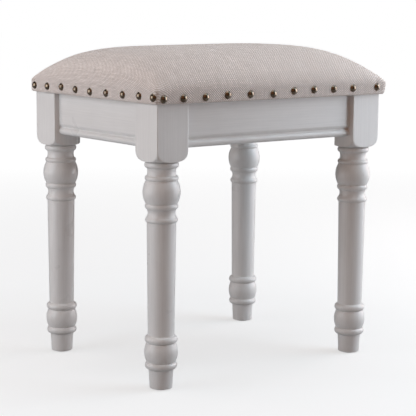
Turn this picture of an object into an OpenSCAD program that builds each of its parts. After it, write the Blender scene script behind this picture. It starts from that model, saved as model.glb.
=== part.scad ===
// Dressing stool: four turned legs, a frame of beaded aprons and a domed linen seat.
// It is a knock-down stool. A brace is screwed across each corner of the frame, and one
// hanger bolt through it draws the leg in against the ends of its two aprons.
// +Z is up, +X runs along the long side and the front faces -Y. The origin is on the
// floor under the middle of the stool. All sizes are in millimetres.

/* [Overall] */
// Length of the frame over the outer faces of the legs
frame_w = 397; // [340:1:520]
// Depth of the frame over the outer faces of the legs
frame_d = 306; // [270:1:400]
// Height of the leg tops above the floor, which the seat rests on
leg_top = 388; // [350:1:470]

/* [Leg block] */
// Width of the square block at the top of each leg
block_w = 50.8; // [44:0.1:60]
// Height of the square block
block_h = 78; // [66:1:100]
// Radius at which the shoulder turned on the block's lower end starts
shoulder_start = 22.5; // [20:0.1:24]
// Height over which that shoulder rounds up to the block's corners
shoulder_h = 13; // [6:0.5:16]
// Radius that eases the block's standing edges
arris_r = 1; // [0.5:0.1:3]
// Width cut off the inner corner for the bolt's flat
bolt_flat = 12; // [8:0.5:16]

/* [Leg turning below the block] */
// Collar bead: depth of its middle below the block, its reach, its own radius
collar = [4.6, 23.1, 4.6]; // [2:0.1:40]
// Neck cove: depth of its middle below the block, its least radius, its own radius
neck_cove = [14, 19.1, 16]; // [2:0.1:40]
// Neck ring: depth of its middle below the block, its reach, its own radius
neck_ring = [22.4, 22.6, 3.6]; // [2:0.1:40]
// Upper ball: depth of its middle below the block, its reach, half its height
upper_ball = [41.2, 25.4, 14.9]; // [10:0.1:60]
// Ring under the ball: depth of its middle below the block, its reach, its own radius
waist_ring = [59.9, 22.4, 5.2]; // [3:0.1:80]
// Waist cove: depth of its middle below the block, its least radius, its own radius
waist_cove = [69.2, 18.6, 10]; // [3:0.1:90]
// Ring on the shaft's head: depth of its middle below the block, its reach, its own radius
shaft_ring = [78.3, 21.9, 4.4]; // [3:0.1:100]
// Radius of the creases at both ends of the neck cove
neck_crease_r = 19.8; // [19.3:0.1:19.8]
// Radius of the creases between the upper ball and its rings
upper_crease_r = 20.9; // [20:0.1:21.8]
// Radius of the crease above the waist cove
waist_crease_r = 19.4; // [18.9:0.1:19.7]
// Radius to which the waist cove flares where it meets the shaft's ring
flare_r = 20.3; // [19.6:0.1:20.4]
// How far a ball's ends stand out past the creases beside them
crease_lip = 0.7; // [0.2:0.1:1]

/* [Leg shaft and foot] */
// Radius of the shaft at its head
shaft_head_r = 19.8; // [18:0.1:21]
// Radius of the shaft at its lower end
shaft_end_r = 18; // [17:0.1:20]
// Ankle ring: height of its middle above the floor, its reach, its own radius
ankle_ring = [68.8, 22.3, 5.5]; // [4:0.1:90]
// Lower ball: height of its middle above the floor, its reach, half its height
lower_ball = [50.9, 22.8, 12.2]; // [8:0.1:70]
// Foot ring: height of its middle above the floor, its reach, its own radius
foot_ring = [33, 21.8, 5.5]; // [4:0.1:50]
// Radius of the creases between the lower ball and its rings
lower_crease_r = 19.4; // [18.8:0.1:20.8]
// Radius of the foot under its ring
foot_r = 16.9; // [16.4:0.1:19]
// Radius of the foot where it ends above its glide
foot_end_r = 15.4; // [14:0.1:17]
// Radius that eases the foot's lower edge
foot_ease = 0.8; // [0.5:0.1:2]
// Diameter of the nylon glide
glide_d = 22; // [16:0.5:26]
// Thickness of the nylon glide
glide_t = 1.5; // [1.5:0.1:5]
// Length of the glide's pin
glide_pin_l = 14; // [8:1:20]
// Diameter of the glide's pin
glide_pin_d = 3; // [2:0.1:4]

/* [Aprons] */
// Height of the aprons
apron_h = 61; // [54:0.5:70]
// Thickness of the aprons
apron_t = 20; // [16:0.5:22]
// Distance from the leg's face back to the apron's face
reveal = 7.5; // [3:0.1:10]
// Radius of the bead along the lower edge
bead_r = 5.5; // [4:0.1:7]
// Depth of the hollow above the bead
hollow_depth = 2.8; // [1:0.1:3.5]
// Height of the hollow above the bead
hollow_h = 6; // [3:0.1:9]

/* [Corner braces and fasteners] */
// Thickness of a brace across the corner
brace_t = 25; // [20:0.5:30]
// Height of a brace
brace_h = 40; // [34:0.5:46]
// Distance from the leg tops down to the braces
brace_drop = 2; // [1.6:0.1:5]
// Gap between a brace and the leg, which lets the bolt draw the leg in
pull_gap = 3; // [1:0.1:5]
// Diameter of the hanger bolt
bolt_d = 8; // [6:0.5:8]
// Length of the hanger bolt in the leg
bolt_in_leg = 30; // [20:1:36]
// Length of the bolt past its nut
bolt_stub = 4; // [2:0.5:10]
// Clearance on the diameter of the bolt's hole in the brace
bolt_play = 1; // [0.4:0.1:2]
// Outer diameter of the washer
washer_d = 22; // [18:0.5:24]
// Thickness of the washer
washer_t = 1.6; // [1:0.1:2.5]
// Width of the nut across its flats
nut_af = 13; // [12:0.5:14]
// Height of the nut
nut_h = 6.5; // [4:0.1:8]
// Diameter of the wood screws
screw_d = 4.2; // [3.5:0.1:4.5]
// Diameter of the wood screws' heads
screw_head_d = 8.2; // [7:0.1:9]
// Height of the wood screws' heads
screw_head_h = 2.8; // [2:0.1:4]
// Clearance on the diameter of a screw's hole where it only passes through
screw_play = 0.4; // [0.2:0.1:1]
// Depth of the brace screws in the aprons
apron_bite = 14; // [8:0.5:15]
// Depth of the seat screws in the seat board
board_bite = 10; // [6:0.5:11]

/* [Seat] */
// Overhang of the seat past the legs
overhang = 6.5; // [2:0.5:15]
// Radius of the seat's corners in plan
corner_r = 6; // [4:0.5:14]
// Thickness of the seat board
board_t = 15; // [12:0.5:20]
// Height of the seat's crown above the board
crown = 51; // [30:1:70]
// Thickness of the linen cover
linen_t = 1; // [0.6:0.1:1.5]
// Thickness of the wadding between linen and foam
wadding_t = 3; // [2:0.5:6]
// Width of linen turned under the board
return_w = 45; // [40:1:48]
// Thickness of the black dust cover
dust_t = 0.6; // [0.4:0.1:1]
// Gap between the dust cover and the frame round it
dust_gap = 1.5; // [0.5:0.1:3]
// Thickness of the staples' wire
staple_wire = 0.6; // [0.4:0.1:0.8]
// Width of a staple over its legs
staple_w = 10; // [6:0.5:12]
// Length of a staple's legs in the board
staple_leg = 6; // [4:0.5:9]

/* [Nailhead trim] */
// Diameter of a nail's head
nail_d = 11; // [7:0.5:13]
// Height of a nail's domed head
nail_h = 3.8; // [2:0.1:5]
// Height of the row of nails above the leg tops
nail_up = 8.3; // [7.5:0.1:9.5]
// Length of a nail's shank
nail_l = 9; // [6:0.5:9.5]
// Diameter of a nail's shank
nail_shank_d = 1.8; // [1.2:0.1:2.4]

/* [Hidden] */
$fn = 48;
eps = 0.01;
half_w = frame_w / 2;
half_d = frame_d / 2;
half_block = block_w / 2;
leg_x = half_w - half_block;
leg_y = half_d - half_block;
block_z = leg_top - block_h;
// How far the turned part runs up inside the block
turned_into_block = 8;
// How far the turned shoulder runs out past the block's corners
shoulder_clear = 0.5;

// Inner faces of the aprons, and the diagonal through a leg's axis
apron_x = half_w - reveal - apron_t;
apron_y = half_d - reveal - apron_t;
flat_at = (block_w - bolt_flat) / sqrt(2);
brace_near = flat_at + pull_gap;
brace_far = brace_near + brace_t;
bolt_end = brace_far + washer_t + nut_h + bolt_stub;
brace_top = leg_top - brace_drop;
brace_z = brace_top - brace_h;
bolt_z = brace_top - brace_h / 2;
// Distance from a brace's thin end to its screw, and the wood under that screw's head
wing_screw = 18;
wing_grip = 13;
// Distance along a brace from its bolt to its seat screw
seat_screw_off = 16;
screw_point = 5;
pocket_play = 1.2;

// Half sizes of the seat, and the heights of its layers
seat_x = half_w + overhang;
seat_y = half_d + overhang;
board_z = leg_top + linen_t;
board_top = board_z + board_t;
// The four powers that shape the dome: along X then across it, along Y then across it
dome_powers = [5.8, 2.1, 3, 1.8];
dome_rings = 8;
return_corner = 12;
linen_staple_in = 41;
dust_staple_in = 4;

// Spaces between the nails, as shares of their row: they are set by eye, so they differ
long_spaces = [32, 36, 37, 39, 40, 37, 37, 37, 37, 47];
short_spaces = [35, 38, 37, 37, 40, 40, 38, 31];
// Height of each nail above or below its row's line, for the same reason
long_lifts = [-2, -2, -1.8, -0.1, -0.5, -1.5, 1.3, 1.8, 1.4, 1.5, 1.8];
short_lifts = [-0.1, 0.3, 1.6, 0, -1, -0.5, -0.3, 0.3, -0.2];
// Distance from the seat's corners to the first and last nail of each row
long_ends = [12.5, 17.5];
short_ends = [13.5, 8];

wood = "#dcd8d2";
bare_wood = "#c9ab82";
steel = "#b4b6b8";
bronze = "#74593a";

// ---- Shapes that repeat ----

// Points along an arc
function arc(x, y, r, from, to, n = 6) =
    [for (i = [0:n]) let (a = from + (to - from) * i / n) [x + r * cos(a), y + r * sin(a)]];

// Points between two corners, without the corners
function between(p, q, n) = [for (i = [1:n - 1]) p + (q - p) * i / n];

// Angle at which a ring, given as [place, reach, radius], comes down to another radius
function meets(ring, r) = acos((r - ring.y + ring.z) / ring.z);

// Angle at which a cove, given in the same way, opens out to another radius
function opens(cove, r) = acos(1 - (r - cove.y) / cove.z);

// A ring's curve at height z, between the radii it comes down to below and above
function ring_at(z, ring, low_r, high_r) =
    arc(ring.y - ring.z, z, ring.z, -meets(ring, low_r), meets(ring, high_r), 10);

// A cove's curve at height z, between the radii it opens out to below and above
function cove_at(z, cove, low_r, high_r) =
    arc(cove.y + cove.z, z, cove.z, 180 + opens(cove, low_r), 180 - opens(cove, high_r));

// A ball's curve at height z, whose ends stand a lip out from creases of radius crease_r
function ball_at(z, ball, crease_r) =
    let (swell = ball.y - crease_r - crease_lip, curve = (ball.z * ball.z + swell * swell) / (2 * swell))
    let (a = asin(ball.z / curve))
    arc(ball.y - curve, z, curve, -a, a, 12);

// A rectangle of half sizes a and b with round corners, counterclockwise
function round_rect(a, b, r, n = 5) = concat(
    arc(a - r, b - r, r, 0, 90, n), arc(r - a, b - r, r, 90, 180, n),
    arc(r - a, r - b, r, 180, 270, n), arc(a - r, r - b, r, 270, 360, n));

// The same outline with points along its straight sides too, for a surface that curves
function rim(a, b, r) = concat(
    arc(a - r, b - r, r, 0, 90, 3), between([a - r, b], [r - a, b], 8),
    arc(r - a, b - r, r, 90, 180, 3), between([-a, b - r], [-a, r - b], 6),
    arc(r - a, r - b, r, 180, 270, 3), between([r - a, -b], [a - r, -b], 8),
    arc(a - r, r - b, r, 270, 360, 3), between([a, r - b], [a, b - r], 6));

// Share of the crown's height at the place u, v, which run from -1 to 1 across the seat
function dome(u, v) =
    pow(max(0, 1 - pow(abs(u), dome_powers[0])), 1 / dome_powers[1])
    * pow(max(0, 1 - pow(abs(v), dome_powers[2])), 1 / dome_powers[3]);

// One ring of points on the seat's surface, set in by inset, at share s of its plan
function dome_ring(inset, s) =
    let (a = seat_x - inset, b = seat_y - inset)
    [for (p = rim(a, b, max(corner_r - inset, 1)))
        [p.x * s, p.y * s, board_top + (crown - inset) * dome(p.x * s / a, p.y * s / b)]];

// The rings of that surface from its edge up, closer together near the edge
function dome_rings_up(inset) = [for (k = [0:dome_rings - 1]) dome_ring(inset, 1 - pow(k / dome_rings, 2))];

function flat_ring(inset, r, z) =
    [for (p = rim(seat_x - inset, seat_y - inset, r)) [p.x, p.y, z]];

function reversed(list) = [for (i = [len(list) - 1:-1:0]) list[i]];

function crown_of(inset) = [0, 0, board_top + crown - inset];

// A closed skin over rings of points, from a first point through them to a last point
module skin(first, rings, last) {
    n = len(rings[0]);
    m = len(rings);
    points = concat([first], [for (ring = rings) for (p = ring) p], [last]);
    polyhedron(points, concat(
        [for (i = [0:n - 1]) [0, 1 + i, 1 + (i + 1) % n]],
        [for (k = [0:m - 2], i = [0:n - 1]) let (a = 1 + k * n + i, b = 1 + k * n + (i + 1) % n) [a, a + n, b]],
        [for (k = [0:m - 2], i = [0:n - 1]) let (a = 1 + k * n + i, b = 1 + k * n + (i + 1) % n) [b, a + n, b + n]],
        [for (i = [0:n - 1]) let (k = 1 + (m - 1) * n) [k + i, m * n + 1, k + (i + 1) % n]]));
}

// Children are drawn for the rear right corner and mirrored to the one that is named.
module at_corner(side_x, side_y) {
    mirror([side_x < 0 ? 1 : 0, 0, 0])
        mirror([0, side_y < 0 ? 1 : 0, 0])
            children();
}

module at_each_corner() {
    for (side_x = [-1, 1], side_y = [-1, 1])
        at_corner(side_x, side_y) children();
}

// Z runs along the bolt's axis, from the leg's axis towards the middle of the stool.
module along_bolt(from) {
    translate([leg_x, leg_y, bolt_z])
        rotate([0, 0, 225])
            rotate([0, 90, 0])
                translate([0, 0, from]) children();
}

// Z runs up the seat screw from the brace's underside.
module along_seat_screw() {
    translate([leg_x, leg_y, brace_z])
        rotate([0, 0, 225])
            translate([brace_near + brace_t / 2, seat_screw_off, 0]) children();
}

// Z runs into the apron from the seat of each of a brace's two screw heads.
module along_brace_screws() {
    far_sum = leg_x + leg_y - brace_far * sqrt(2);
    translate([far_sum - apron_y + wing_screw, apron_y - wing_grip, bolt_z])
        rotate([-90, 0, 0]) children();
    translate([apron_x - wing_grip, far_sum - apron_x + wing_screw, bolt_z])
        rotate([0, 90, 0]) children();
}

// A pan-head wood screw that points up, with the underside of its head at zero
module wood_screw(length) {
    r = screw_d / 2;
    head = screw_head_d / 2;
    difference() {
        rotate_extrude($fn = 24)
            polygon(concat([[0, -screw_head_h]], arc(head - 1, 1 - screw_head_h, 1, -90, 0, 3),
                [[head, 0], [r, 0], [r, length - screw_point], [0, length]]));
        for (turn = [0, 90])
            rotate([0, 0, turn])
                translate([-head / 2, -0.5, -screw_head_h - eps])
                    cube([head, 1, screw_head_h / 2]);
    }
}

// ---- Legs and glides ----

function turned_outline() = concat(
    [[0, glide_t], [foot_end_r - foot_ease, glide_t]],
    arc(foot_end_r - foot_ease, glide_t + foot_ease, foot_ease, -60, 0, 3),
    ring_at(foot_ring.x, foot_ring, foot_r, lower_crease_r),
    ball_at(lower_ball.x, lower_ball, lower_crease_r),
    ring_at(ankle_ring.x, ankle_ring, lower_crease_r, shaft_end_r),
    ring_at(block_z - shaft_ring.x, shaft_ring, shaft_head_r, flare_r),
    cove_at(block_z - waist_cove.x, waist_cove, flare_r, waist_crease_r),
    ring_at(block_z - waist_ring.x, waist_ring, waist_crease_r, upper_crease_r),
    ball_at(block_z - upper_ball.x, upper_ball, upper_crease_r),
    ring_at(block_z - neck_ring.x, neck_ring, upper_crease_r, neck_crease_r),
    cove_at(block_z - neck_cove.x, neck_cove, neck_crease_r, neck_crease_r),
    ring_at(block_z - collar.x, collar, neck_crease_r, collar.y - collar.z),
    [[collar.y - collar.z, block_z + turned_into_block], [0, block_z + turned_into_block]]);

// The block in plan, with eased outer edges and the flat for the bolt on its inner corner
function block_outline() =
    let (c = half_block - arris_r)
    concat(arc(c, c, arris_r, 0, 90, 3), arc(-c, c, arris_r, 90, 180, 3),
        [[-half_block, bolt_flat - half_block], [bolt_flat - half_block, -half_block]],
        arc(c, -c, arris_r, 270, 360, 3));

// The shoulder is turned, so it is round in plan and only reaches full height at the corners.
module leg_block() {
    corner = (half_block - arris_r) * sqrt(2) + arris_r + shoulder_clear;
    intersection() {
        translate([0, 0, block_z])
            linear_extrude(block_h) polygon(block_outline());
        rotate_extrude()
            polygon(concat([[0, block_z]],
                [for (p = arc(0, 0, 1, -90, 0, 8))
                    [shoulder_start + (corner - shoulder_start) * p.x, block_z + shoulder_h * (1 + p.y)]],
                [[corner, leg_top + 1], [0, leg_top + 1]]));
    }
}

module glide_pin() {
    cylinder(d = glide_pin_d, h = glide_t + glide_pin_l);
}

module leg(side_x, side_y) {
    color(wood)
    at_corner(side_x, side_y)
    difference() {
        translate([leg_x, leg_y, 0]) {
            rotate_extrude() polygon(turned_outline());
            leg_block();
        }
        along_bolt(flat_at - bolt_in_leg) cylinder(d = bolt_d, h = bolt_in_leg + bolt_flat);
        translate([leg_x, leg_y, 0]) glide_pin();
    }
}

module glide(side_x, side_y) {
    color("#8d8a85")
    at_corner(side_x, side_y)
    translate([leg_x, leg_y, 0]) {
        rotate_extrude()
            polygon(concat([[0, 0]], arc(glide_d / 2 - 1, 1, 1, -90, 0, 3), [[glide_d / 2, glide_t], [0, glide_t]]));
        glide_pin();
    }
}

// ---- Aprons and braces ----

// The apron's section, with its face at zero and its lower edge at zero height
function apron_section() = concat(
    [[-apron_t, 0], [-bead_r, 0]],
    arc(-bead_r, bead_r, bead_r, -84, 60, 10),
    [[-hollow_depth, 2 * bead_r]],
    arc(0, 2 * bead_r, hollow_depth, 180, 120, 3),
    [[0, 2 * bead_r + hollow_h], [0, apron_h], [-apron_t, apron_h]]);

// An apron along X whose face looks towards -Y
module apron_bar(length, face) {
    translate([-length / 2, -face, leg_top - apron_h])
        rotate([90, 0, 90])
            linear_extrude(length)
                mirror([1, 0]) polygon(apron_section());
}

module apron_screw_holes() {
    at_each_corner()
        along_brace_screws() cylinder(d = screw_d, h = wing_grip + apron_bite);
}

module long_apron(turn) {
    color(wood)
    difference() {
        rotate([0, 0, turn]) apron_bar(frame_w - 2 * block_w, half_d - reveal);
        apron_screw_holes();
    }
}

module short_apron(turn) {
    color(wood)
    difference() {
        rotate([0, 0, turn]) apron_bar(frame_d - 2 * block_w, half_w - reveal);
        apron_screw_holes();
    }
}

module brace(side_x, side_y) {
    near_sum = leg_x + leg_y - brace_near * sqrt(2);
    far_sum = leg_x + leg_y - brace_far * sqrt(2);
    color(bare_wood)
    at_corner(side_x, side_y)
    difference() {
        translate([0, 0, brace_z])
            linear_extrude(brace_h)
                polygon([[near_sum - apron_y, apron_y], [apron_x, near_sum - apron_x],
                    [apron_x, far_sum - apron_x], [far_sum - apron_y, apron_y]]);
        along_bolt(brace_near - 1) cylinder(d = bolt_d + bolt_play, h = brace_t + 2);
        along_seat_screw()
            translate([0, 0, -1]) cylinder(d = screw_d + screw_play, h = brace_h + 2);
        along_brace_screws() {
            cylinder(d = screw_d + screw_play, h = wing_grip + 1);
            translate([0, 0, -brace_t * 2])
                cylinder(d = screw_head_d + pocket_play, h = brace_t * 2);
        }
    }
}

// ---- Fasteners of the frame ----

module hanger_bolts() {
    color(steel)
    at_each_corner()
        along_bolt(flat_at - bolt_in_leg)
            cylinder(d = bolt_d, h = bolt_end - flat_at + bolt_in_leg);
}

module bolt_washers() {
    color(steel)
    at_each_corner()
        along_bolt(brace_far)
            difference() {
                cylinder(d = washer_d, h = washer_t);
                translate([0, 0, -1]) cylinder(d = bolt_d + bolt_play / 2, h = washer_t + 2);
            }
}

module bolt_nuts() {
    color(steel)
    at_each_corner()
        along_bolt(brace_far + washer_t)
            difference() {
                cylinder(d = nut_af / cos(30), h = nut_h, $fn = 6);
                translate([0, 0, -1]) cylinder(d = bolt_d, h = nut_h + 2);
            }
}

module brace_screws() {
    color(steel)
    at_each_corner() along_brace_screws() wood_screw(wing_grip + apron_bite);
}

module seat_screws() {
    color(steel)
    at_each_corner() along_seat_screw() wood_screw(board_z - brace_z + board_bite);
}

// ---- Nails and staples ----

function sum_to(list, n) = n <= 0 ? 0 : list[n - 1] + sum_to(list, n - 1);

// Places of a row's nails along a side of half length a
function nail_row(a, spaces, ends) =
    let (total = sum_to(spaces, len(spaces)), run = 2 * a - ends[0] - ends[1])
    [for (i = [0:len(spaces)]) ends[0] - a + run * sum_to(spaces, i) / total];

// A nail that points along +Y, with the back of its head at zero
module nail() {
    head = nail_d / 2;
    curve = (head * head + nail_h * nail_h) / (2 * nail_h);
    shank = nail_shank_d / 2;
    rotate([-90, 0, 0])
        rotate_extrude($fn = 24)
            polygon(concat(arc(0, curve - nail_h, curve, -90, asin((nail_h - curve) / curve), 8),
                [[shank, 0], [shank, nail_l - 2], [0, nail_l]]));
}

// Children stand at each nail of the front row, and are turned round for the rear.
module along_long_rows(turns) {
    places = nail_row(seat_x, long_spaces, long_ends);
    for (turn = turns, i = [0:len(places) - 1])
        rotate([0, 0, turn]) translate([places[i], -seat_y, leg_top + nail_up + long_lifts[i]]) children();
}

// The left row starts at the rear corner, and is turned round for the right.
module along_short_rows(turns) {
    places = nail_row(seat_y, short_spaces, short_ends);
    for (turn = turns, i = [0:len(places) - 1])
        rotate([0, 0, turn]) translate([places[i], -seat_x, leg_top + nail_up + short_lifts[i]]) children();
}

// The hole that a nail's shank makes through the linen and into the board
module nail_hole() {
    rotate([-90, 0, 0])
        translate([0, 0, -eps]) cylinder(d = nail_shank_d, h = nail_l + eps);
}

module nail_holes() {
    along_long_rows([0, 180]) nail_hole();
    along_short_rows([-90, 90]) nail_hole();
}

module nails_of_row(long, turn) {
    color(bronze)
    if (long)
        along_long_rows([turn]) nail();
    else
        along_short_rows([turn]) nail();
}

// A staple across X, with the top of its crown at zero and its legs up through length
module staple(length) {
    translate([-staple_w / 2, -staple_wire / 2, -staple_wire]) {
        cube([staple_w, staple_wire, staple_wire]);
        for (x = [0, staple_w - staple_wire])
            translate([x, 0, 0]) cube([staple_wire, staple_wire, staple_wire + length]);
    }
}

// Children stand along lines at x = a and y = b, in rows of an odd or even number
module along_lines(a, b, long_count, short_count) {
    for (side = [0, 180], i = [1:long_count])
        rotate([0, 0, side])
            translate([(2 * i / (long_count + 1) - 1) * a, b, 0]) children();
    for (side = [90, 270], i = [1:short_count])
        rotate([0, 0, side])
            translate([(2 * i / (short_count + 1) - 1) * b, a, 0]) children();
}

// The crown of a linen staple sinks into the cloth until it is flush.
module linen_staple_set() {
    along_lines(seat_x - linen_staple_in, seat_y - linen_staple_in, 6, 4)
        translate([0, 0, leg_top + staple_wire]) staple(staple_leg);
}

module dust_staple_set() {
    along_lines(apron_x - dust_staple_in, apron_y - dust_staple_in, 5, 3)
        translate([0, 0, leg_top - dust_t]) staple(dust_t + linen_t + staple_leg);
}

module linen_staples() {
    color(steel) linen_staple_set();
}

module dust_cover_staples() {
    color(steel) dust_staple_set();
}

// ---- Seat ----

module seat_board() {
    color(bare_wood)
    difference() {
        translate([0, 0, board_z])
            linear_extrude(board_t)
                polygon(round_rect(seat_x - linen_t, seat_y - linen_t, corner_r - linen_t));
        nail_holes();
        linen_staple_set();
        dust_staple_set();
        at_each_corner()
            along_seat_screw() cylinder(d = screw_d, h = board_z - brace_z + board_bite);
    }
}

module foam_pad() {
    inset = linen_t + wadding_t;
    color("#efe6c8")
    skin([0, 0, board_top], dome_rings_up(inset), crown_of(inset));
}

module wadding() {
    inset = linen_t + wadding_t;
    color("#f4f4f2")
    skin(crown_of(inset), concat(reversed(dome_rings_up(inset)), dome_rings_up(linen_t)), crown_of(linen_t));
}

module linen_cover() {
    inner_r = corner_r - linen_t;
    color("#cdbfb2")
    difference() {
        skin(crown_of(linen_t), concat(
            reversed(dome_rings_up(linen_t)),
            [flat_ring(linen_t, inner_r, board_z), flat_ring(return_w, return_corner, board_z),
                flat_ring(return_w, return_corner, leg_top), flat_ring(0, corner_r, leg_top)],
            dome_rings_up(0)), crown_of(0));
        nail_holes();
        linen_staple_set();
        dust_staple_set();
    }
}

module dust_cover() {
    x = apron_x - dust_gap;
    y = apron_y - dust_gap;
    corner_sum = leg_x + leg_y - (flat_at + dust_gap) * sqrt(2);
    color("#232325")
    difference() {
        translate([0, 0, leg_top - dust_t])
            linear_extrude(dust_t)
                polygon([[x, corner_sum - x], [corner_sum - y, y], [y - corner_sum, y], [-x, corner_sum - x],
                    [-x, x - corner_sum], [y - corner_sum, -y], [corner_sum - y, -y], [x, x - corner_sum]]);
        dust_staple_set();
        at_each_corner()
            along_seat_screw() cylinder(d = screw_d, h = board_z - brace_z + board_bite);
    }
}

leg(-1, -1);  // leg_front_left
leg(1, -1);  // leg_front_right
leg(-1, 1);  // leg_rear_left
leg(1, 1);  // leg_rear_right
long_apron(0);  // apron_front
long_apron(180);  // apron_rear
short_apron(-90);  // apron_left
short_apron(90);  // apron_right
brace(-1, -1);  // brace_front_left
brace(1, -1);  // brace_front_right
brace(-1, 1);  // brace_rear_left
brace(1, 1);  // brace_rear_right
hanger_bolts();
bolt_washers();
bolt_nuts();
brace_screws();
seat_screws();
seat_board();
foam_pad();
wadding();
linen_cover();
linen_staples();
dust_cover();
dust_cover_staples();
nails_of_row(true, 0);  // nails_front
nails_of_row(true, 180);  // nails_rear
nails_of_row(false, -90);  // nails_left
nails_of_row(false, 90);  // nails_right
glide(-1, -1);  // glide_front_left
glide(1, -1);  // glide_front_right
glide(-1, 1);  // glide_rear_left
glide(1, 1);  // glide_rear_right
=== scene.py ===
import math
import bpy
import numpy as np
from mathutils import Matrix, Vector


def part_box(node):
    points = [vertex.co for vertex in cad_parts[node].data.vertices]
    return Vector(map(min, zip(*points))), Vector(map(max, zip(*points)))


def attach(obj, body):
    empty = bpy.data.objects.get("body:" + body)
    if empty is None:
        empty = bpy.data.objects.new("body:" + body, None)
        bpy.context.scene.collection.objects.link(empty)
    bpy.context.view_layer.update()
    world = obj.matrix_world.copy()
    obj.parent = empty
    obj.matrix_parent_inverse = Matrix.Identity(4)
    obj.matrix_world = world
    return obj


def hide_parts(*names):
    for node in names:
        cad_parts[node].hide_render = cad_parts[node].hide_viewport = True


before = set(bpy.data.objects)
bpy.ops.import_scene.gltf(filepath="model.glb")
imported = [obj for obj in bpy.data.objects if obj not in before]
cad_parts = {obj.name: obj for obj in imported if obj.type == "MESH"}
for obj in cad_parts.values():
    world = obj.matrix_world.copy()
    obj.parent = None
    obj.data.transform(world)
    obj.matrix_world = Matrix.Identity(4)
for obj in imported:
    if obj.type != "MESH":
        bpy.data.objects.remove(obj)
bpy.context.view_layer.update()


# ---- Legs ----
# Four legs of close-grained hardwood, each turned from one square billet that is left square
# at the top. The inner corner of the block is cut flat for the bolt. The paint is sprayed on
# and rubbed down, so it is satin, fills the edges a little and lets the grain just show.

MM = 0.001
CORNERS = {"front_left": (-1, -1), "front_right": (1, -1), "rear_left": (-1, 1), "rear_right": (1, 1)}
BLOCK_HALF = 25.4 * MM
BLOCK_HEIGHT = 78 * MM
ARRIS = 1 * MM
BOLT_FLAT = 12 * MM
SHOULDER = 13 * MM
SHOULDER_START = 22.5 * MM
PAINT_FILL = 0.35 * MM
PAINT = (0.74, 0.722, 0.708, 1)
# Rings, coves and balls in millimetres, each as (height, greatest or least radius, radius of the
# curve or half height). Heights run down from the block, but up from the floor for the ankle ring,
# the lower ball and the foot ring.
COLLAR, NECK_COVE, NECK_RING = (4.6, 23.1, 4.6), (14, 19.1, 16), (22.4, 22.6, 3.6)
UPPER_BALL, WAIST_RING, WAIST_COVE = (41.2, 25.4, 14.9), (59.9, 22.4, 5.2), (69.2, 18.6, 10)
SHAFT_RING, ANKLE_RING, LOWER_BALL = (78.3, 21.9, 4.4), (68.8, 22.3, 5.5), (50.9, 22.8, 12.2)
FOOT_RING = (33, 21.8, 5.5)
# Radii of the creases between them and of the plain parts, in millimetres
NECK_CREASE, UPPER_CREASE, WAIST_CREASE, FLARE, LOWER_CREASE = 19.8, 20.9, 19.4, 20.3, 19.4
SHAFT_HEAD, SHAFT_END, FOOT, FOOT_END, FOOT_EASE = 19.8, 18, 16.9, 15.4, 0.8
CREASE_LIP = 0.7
COLLAR_TOP = COLLAR[1] - COLLAR[2]
# How far the shaft's taper keeps from the middles of the rings below and above it
TAPER_GAPS = (6, 4)
RING_STEPS, COVE_STEPS, BALL_STEPS = 16, 12, 26


def arc(x, y, radius, start, end, steps):
    """Points along an arc, from one angle to another in degrees."""
    angles = np.radians(np.linspace(start, end, steps + 1))
    return [(x + radius * math.cos(a), y + radius * math.sin(a)) for a in angles]


def ring(z, shape, below, above):
    """A ring's curve, between the radii it comes down to below and above."""
    _, reach, radius = shape
    start, end = (math.degrees(math.acos((r - reach + radius) / radius)) for r in (below, above))
    return arc(reach - radius, z, radius, -start, end, RING_STEPS)


def cove(z, shape, below, above):
    """A cove's curve, between the radii it opens out to below and above."""
    _, least, radius = shape
    start, end = (math.degrees(math.acos(1 - (r - least) / radius)) for r in (below, above))
    return arc(least + radius, z, radius, 180 + start, 180 - end, COVE_STEPS)


def ball(z, shape, crease):
    """A ball's curve, whose ends stand a lip out from the creases beside them."""
    _, reach, half = shape
    swell = reach - crease - CREASE_LIP
    radius = (half * half + swell * swell) / (2 * swell)
    turn = math.degrees(math.asin(half / radius))
    return arc(reach - radius, z, radius, -turn, turn, BALL_STEPS)


def leg_profile(foot_z, block_z):
    """The turning's outline as (radius, height) in millimetres, from the foot up to the collar."""
    def down(shape):
        return block_z - shape[0]

    shaft_low, shaft_high = ANKLE_RING[0] + TAPER_GAPS[0], down(SHAFT_RING) - TAPER_GAPS[1]
    taper = [(SHAFT_END + (SHAFT_HEAD - SHAFT_END) * t, shaft_low + (shaft_high - shaft_low) * t)
             for t in np.linspace(0.02, 0.98, 14)]
    foot = [(FOOT_END + (FOOT - FOOT_END) * t, foot_z + (FOOT_RING[0] - foot_z) * t)
            for t in (0.2, 0.4, 0.6)]
    return (
        arc(FOOT_END - FOOT_EASE, foot_z + FOOT_EASE, FOOT_EASE, -90, 0, 4) + foot
        + ring(FOOT_RING[0], FOOT_RING, FOOT, LOWER_CREASE) + ball(LOWER_BALL[0], LOWER_BALL, LOWER_CREASE)
        + ring(ANKLE_RING[0], ANKLE_RING, LOWER_CREASE, SHAFT_END) + taper
        + ring(down(SHAFT_RING), SHAFT_RING, SHAFT_HEAD, FLARE)
        + cove(down(WAIST_COVE), WAIST_COVE, FLARE, WAIST_CREASE)
        + ring(down(WAIST_RING), WAIST_RING, WAIST_CREASE, UPPER_CREASE)
        + ball(down(UPPER_BALL), UPPER_BALL, UPPER_CREASE)
        + ring(down(NECK_RING), NECK_RING, UPPER_CREASE, NECK_CREASE)
        + cove(down(NECK_COVE), NECK_COVE, NECK_CREASE, NECK_CREASE)
        + ring(down(COLLAR), COLLAR, NECK_CREASE, COLLAR_TOP))


def along(start, end, steps):
    """Points from one to the other, without the last."""
    return [(start[0] + (end[0] - start[0]) * i / steps, start[1] + (end[1] - start[1]) * i / steps)
            for i in range(steps)]


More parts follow.
